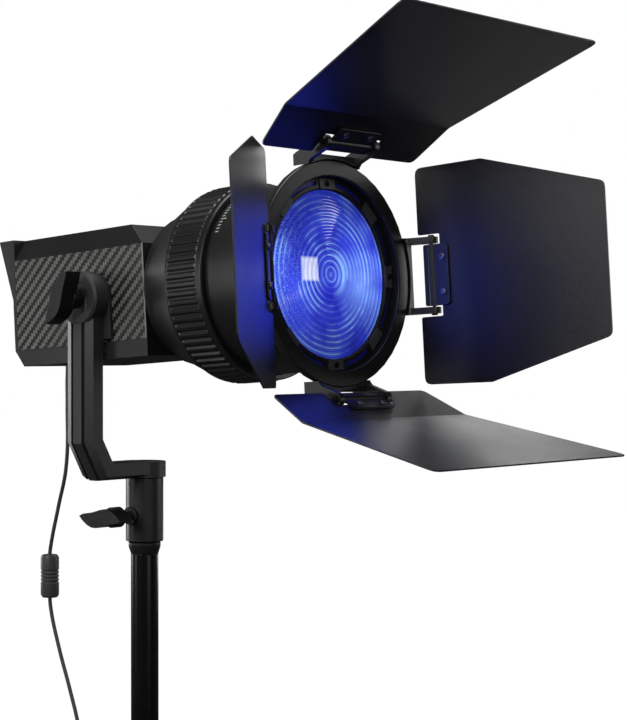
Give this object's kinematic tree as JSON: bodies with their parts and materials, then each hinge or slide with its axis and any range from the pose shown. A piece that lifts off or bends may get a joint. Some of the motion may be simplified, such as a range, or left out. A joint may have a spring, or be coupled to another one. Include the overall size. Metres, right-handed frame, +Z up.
{
  "type": "fresnel spotlight",
  "caption": "LED fresnel spotlight with a zooming lens barrel, barn doors on a rotating ring and a side-arm tilting yoke with wing knobs, on a stand post.",
  "frame": {"origin": "centre of the stand post's lower end face", "axes": "+Z up along the post, the light points towards -Y and 3.7 degrees up at rest, the yoke arm is on the -X side"},
  "size_m": [0.2874, 0.4854, 0.5216],
  "materials": {
    "satin_black": "satin",
    "black_plastic": "satin, finely textured",
    "door_sheet": "satin, fine powder texture",
    "carbon_weave": "woven carbon pattern under satin resin",
    "cable_rubber": "matte",
    "steel": "turned",
    "alloy": "extruded",
    "lens_glass": "stepped rings over a clear polish, lit blue",
    "led_emitter": "lit emitter",
    "circuit_board": "solder mask",
    "display_window": "gloss window"
  },
  "bodies": {
    "post": {"post_end_plug": "black_plastic", "post_tube": "satin_black", "spigot_stud": "satin_black"},
    "yoke": {"yoke_arm": "satin_black", "yoke_socket": "satin_black", "foot_screw": "steel", "power_cable": "cable_rubber", "ferrite_bead": "black_plastic", "cable_coupler": "black_plastic"},
    "socket_knob": {"socket_knob": "black_plastic", "socket_knob_stud": "steel"},
    "tilt_knob": {"tilt_knob": "black_plastic", "tilt_knob_stud": "steel"},
    "head": {"tilt_bracket": "black_plastic", "housing_shell": "satin_black", "rear_cap": "satin_black", "side_panel_left": "carbon_weave", "side_panel_right": "carbon_weave", "heat_sink": "alloy", "led_board": "alloy", "led_emitter": "led_emitter", "fan_frame": "black_plastic", "driver_board": "circuit_board", "display_window": "display_window", "dc_socket": "black_plastic", "dc_plug": "cable_rubber", "adapter_cone": "satin_black"},
    "fan": {"fan_rotor": "black_plastic"},
    "dimmer_dial": {"dimmer_dial": "black_plastic"},
    "colour_dial": {"colour_dial": "black_plastic"},
    "push_button_1": {"push_button_1": "black_plastic"},
    "push_button_2": {"push_button_2": "black_plastic"},
    "push_button_3": {"push_button_3": "black_plastic"},
    "power_switch": {"power_switch": "black_plastic"},
    "mount_latch": {"mount_latch": "black_plastic"},
    "zoom_ring": {"zoom_ring": "black_plastic"},
    "lens_barrel": {"lens_barrel": "satin_black", "fresnel_lens": "lens_glass", "lens_retainer": "black_plastic"},
    "barn_ring": {"barn_ring": "satin_black", "hinge_bracket_top": "satin_black", "hinge_bracket_right": "satin_black", "hinge_bracket_bottom": "satin_black", "hinge_bracket_left": "satin_black", "hinge_pin_top": "steel", "hinge_pin_right": "steel", "hinge_pin_bottom": "steel", "hinge_pin_left": "steel"},
    "door_top": {"door_top": "door_sheet", "hinge_plate_top": "satin_black"},
    "door_right": {"door_right": "door_sheet", "hinge_plate_right": "satin_black"},
    "door_bottom": {"door_bottom": "door_sheet", "hinge_plate_bottom": "satin_black"},
    "door_left": {"door_left": "door_sheet", "hinge_plate_left": "satin_black"}
  },
  "joints": [
    {"name": "yoke_pan", "type": "hinge", "parent": "post", "child": "yoke", "pos_m": [0, 0, 0.21], "axis": [0, 0, 1], "continuous": true},
    {"name": "socket_knob_turn", "type": "hinge", "parent": "yoke", "child": "socket_knob", "pos_m": [-0.03, 0, 0.2085], "axis": [-1, 0, 0], "continuous": true},
    {"name": "tilt_knob_turn", "type": "hinge", "parent": "yoke", "child": "tilt_knob", "pos_m": [-0.07, 0, 0.36], "axis": [-1, 0, 0], "continuous": true},
    {"name": "head_tilt", "type": "hinge", "parent": "yoke", "child": "head", "pos_m": [0.0022, 0, 0.36], "axis": [-1, 0, 0], "range_deg": [-48, 86]},
    {"name": "fan_spin", "type": "hinge", "parent": "head", "child": "fan", "pos_m": [0.0022, 0.00617, 0.36241], "axis": [0, -0.9979, 0.0645], "continuous": true},
    {"name": "dimmer_dial_turn", "type": "hinge", "parent": "head", "child": "dimmer_dial", "pos_m": [-0.0288, 0.0845, 0.34181], "axis": [0, 0.9979, -0.0645], "continuous": true},
    {"name": "colour_dial_turn", "type": "hinge", "parent": "head", "child": "colour_dial", "pos_m": [-0.0068, 0.0845, 0.34181], "axis": [0, 0.9979, -0.0645], "continuous": true},
    {"name": "push_button_1_press", "type": "slide", "parent": "head", "child": "push_button_1", "axis": [0, -0.9402, 0.3405], "range_m": [0, 0.0008]},
    {"name": "push_button_2_press", "type": "slide", "parent": "head", "child": "push_button_2", "axis": [0, -0.9402, 0.3405], "range_m": [0, 0.0008]},
    {"name": "push_button_3_press", "type": "slide", "parent": "head", "child": "push_button_3", "axis": [0, -0.9402, 0.3405], "range_m": [0, 0.0008]},
    {"name": "power_switch_rock", "type": "hinge", "parent": "head", "child": "power_switch", "pos_m": [0.0157, 0.0837, 0.34186], "axis": [1, 0, 0], "range_deg": [0, 8]},
    {"name": "mount_latch_slide", "type": "slide", "parent": "head", "child": "mount_latch", "axis": [0, 0.9979, -0.0645], "range_m": [0, 0.004]},
    {"name": "zoom_turn", "type": "hinge", "parent": "head", "child": "zoom_ring", "pos_m": [0.0022, -0.1036, 0.36951], "axis": [0, -0.9979, 0.0645], "range_deg": [-70, 15]},
    {"name": "barrel_slide", "type": "slide", "parent": "head", "child": "lens_barrel", "axis": [0, -0.9979, 0.0645], "range_m": [-0.0233, 0.005]},
    {"name": "barn_ring_turn", "type": "hinge", "parent": "lens_barrel", "child": "barn_ring", "pos_m": [0.0022, -0.16847, 0.3737], "axis": [0, -0.9979, 0.0645], "continuous": true},
    {"name": "door_top_swing", "type": "hinge", "parent": "barn_ring", "child": "door_top", "pos_m": [0.0022, -0.18666, 0.45655], "axis": [-1, 0, 0], "range_deg": [-36.5, 78.5]},
    {"name": "door_right_swing", "type": "hinge", "parent": "barn_ring", "child": "door_right", "pos_m": [0.0837, -0.19192, 0.37522], "axis": [0, 0.0645, 0.9979], "range_deg": [-41.5, 108.5]},
    {"name": "door_bottom_swing", "type": "hinge", "parent": "barn_ring", "child": "door_bottom", "pos_m": [0.0022, -0.19718, 0.29389], "axis": [1, 0, 0], "range_deg": [-31, 84]},
    {"name": "door_left_swing", "type": "hinge", "parent": "barn_ring", "child": "door_left", "pos_m": [-0.0793, -0.19192, 0.37522], "axis": [0, -0.0645, -0.9979], "range_deg": [-90.5, 59.5]}
  ],
  "couplings": [
    {"joint": "zoom_turn", "follows": "barrel_slide", "rad_per_m": 52.356}
  ]
}
